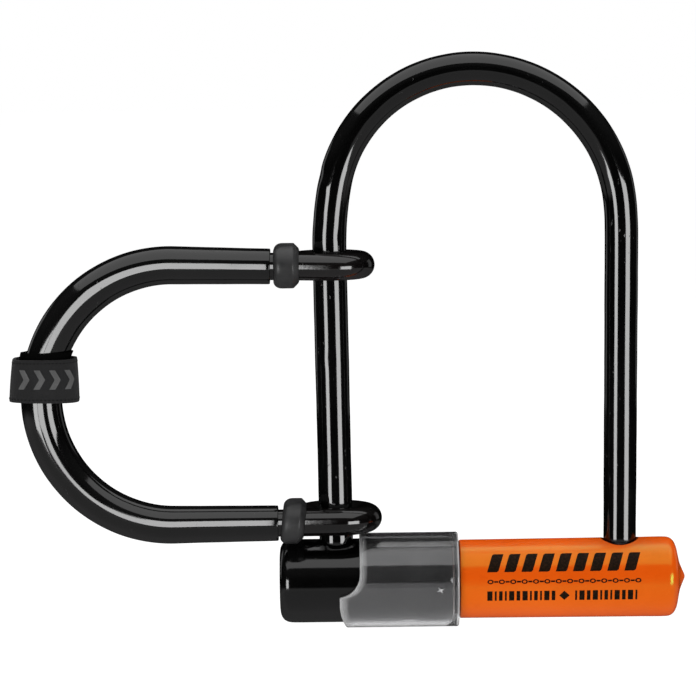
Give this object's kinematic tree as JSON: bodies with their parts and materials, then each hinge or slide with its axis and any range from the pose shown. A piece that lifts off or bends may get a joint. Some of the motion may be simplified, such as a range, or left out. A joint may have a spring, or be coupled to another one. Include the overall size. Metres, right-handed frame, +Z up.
{
  "type": "u lock",
  "caption": "Compact bicycle U lock with a sleeved shackle, covered key cylinder in an orange crossbar and a swinging D shaped extender loop.",
  "frame": {"origin": "bottom centre of the object's bounding box, below the left leg of the shackle", "axes": "+X along the crossbar from its black end to its orange end, +Y to the back, +Z up the shackle from the crossbar to the bend"},
  "size_m": [0.2478, 0.039, 0.2123],
  "materials": {
    "vinyl_black": "glossy black vinyl",
    "vinyl_orange": "satin orange vinyl with black print",
    "jacket_black": "glossy black moulding",
    "cover_smoke": "smoked clear plastic",
    "hardened_steel": "hardened steel, ground",
    "rod_black": "glossy black paint on steel",
    "machined_steel": "turned steel",
    "drill_plate": "dark hardened steel",
    "cylinder_brass": "machined brass",
    "guide_acetal": "natural acetal",
    "collar_rubber": "matt moulded rubber",
    "strap_webbing": "woven webbing with a grey woven pattern"
  },
  "bodies": {
    "crossbar": {"crossbar_tube": "hardened_steel", "crossbar_sleeve": "vinyl_orange", "end_jacket": "jacket_black", "left_end_plug": "machined_steel", "right_end_plug": "machined_steel", "left_plug_pin": "machined_steel", "right_plug_pin": "machined_steel", "left_leg_socket": "hardened_steel", "right_leg_socket": "hardened_steel", "left_bolt_guide": "guide_acetal", "right_bolt_guide": "guide_acetal", "cylinder_housing": "cylinder_brass", "cylinder_face_plate": "drill_plate", "cylinder_pin": "machined_steel"},
    "cover": {"dust_cover": "cover_smoke"},
    "core": {"cylinder_core": "machined_steel", "lock_disc_1": "cylinder_brass", "lock_disc_2": "cylinder_brass", "lock_disc_3": "cylinder_brass", "lock_disc_4": "cylinder_brass", "lock_disc_5": "cylinder_brass", "lock_disc_6": "cylinder_brass", "lock_disc_7": "cylinder_brass", "disc_spacer_1": "machined_steel", "disc_spacer_2": "machined_steel", "disc_spacer_3": "machined_steel", "disc_spacer_4": "machined_steel", "disc_spacer_5": "machined_steel", "disc_spacer_6": "machined_steel", "sidebar": "machined_steel", "drive_cam": "machined_steel", "cam_circlip": "machined_steel"},
    "left_bolt": {"left_deadbolt": "hardened_steel"},
    "right_bolt": {"right_deadbolt": "hardened_steel"},
    "shackle": {"shackle_bar": "hardened_steel", "shackle_sleeve": "vinyl_black"},
    "extender": {"extender_bar": "rod_black", "extender_sleeve": "vinyl_black", "upper_collar": "collar_rubber", "lower_collar": "collar_rubber", "strap_band": "strap_webbing", "strap_tab": "strap_webbing"}
  },
  "joints": [
    {"name": "shackle_slide", "type": "slide", "parent": "crossbar", "child": "shackle", "axis": [0, 0, 1], "range_m": [0, 0.06]},
    {"name": "extender_swing", "type": "hinge", "parent": "shackle", "child": "extender", "pos_m": [-0.005, 0.002, 0.0175], "axis": [-0.0108, 0, 0.9999], "range_deg": [-120, 95]},
    {"name": "dust_cover_turn", "type": "hinge", "parent": "crossbar", "child": "cover", "pos_m": [0.02135, 0.002, 0.0175], "axis": [1, 0, 0], "range_deg": [-60, 60]},
    {"name": "key_turn", "type": "hinge", "parent": "crossbar", "child": "core", "pos_m": [0.02135, 0.002, 0.0175], "axis": [0, 0, 1], "range_deg": [0, 90]},
    {"name": "left_bolt_slide", "type": "slide", "parent": "crossbar", "child": "left_bolt", "axis": [-1, 0, 0], "range_m": [0, 0.0037]},
    {"name": "right_bolt_slide", "type": "slide", "parent": "crossbar", "child": "right_bolt", "axis": [1, 0, 0], "range_m": [0, 0.0037]}
  ],
  "couplings": [
    {"joint": "left_bolt_slide", "follows": "right_bolt_slide", "ratio": 1},
    {"joint": "key_turn", "follows": "right_bolt_slide", "rad_per_m": 424}
  ]
}
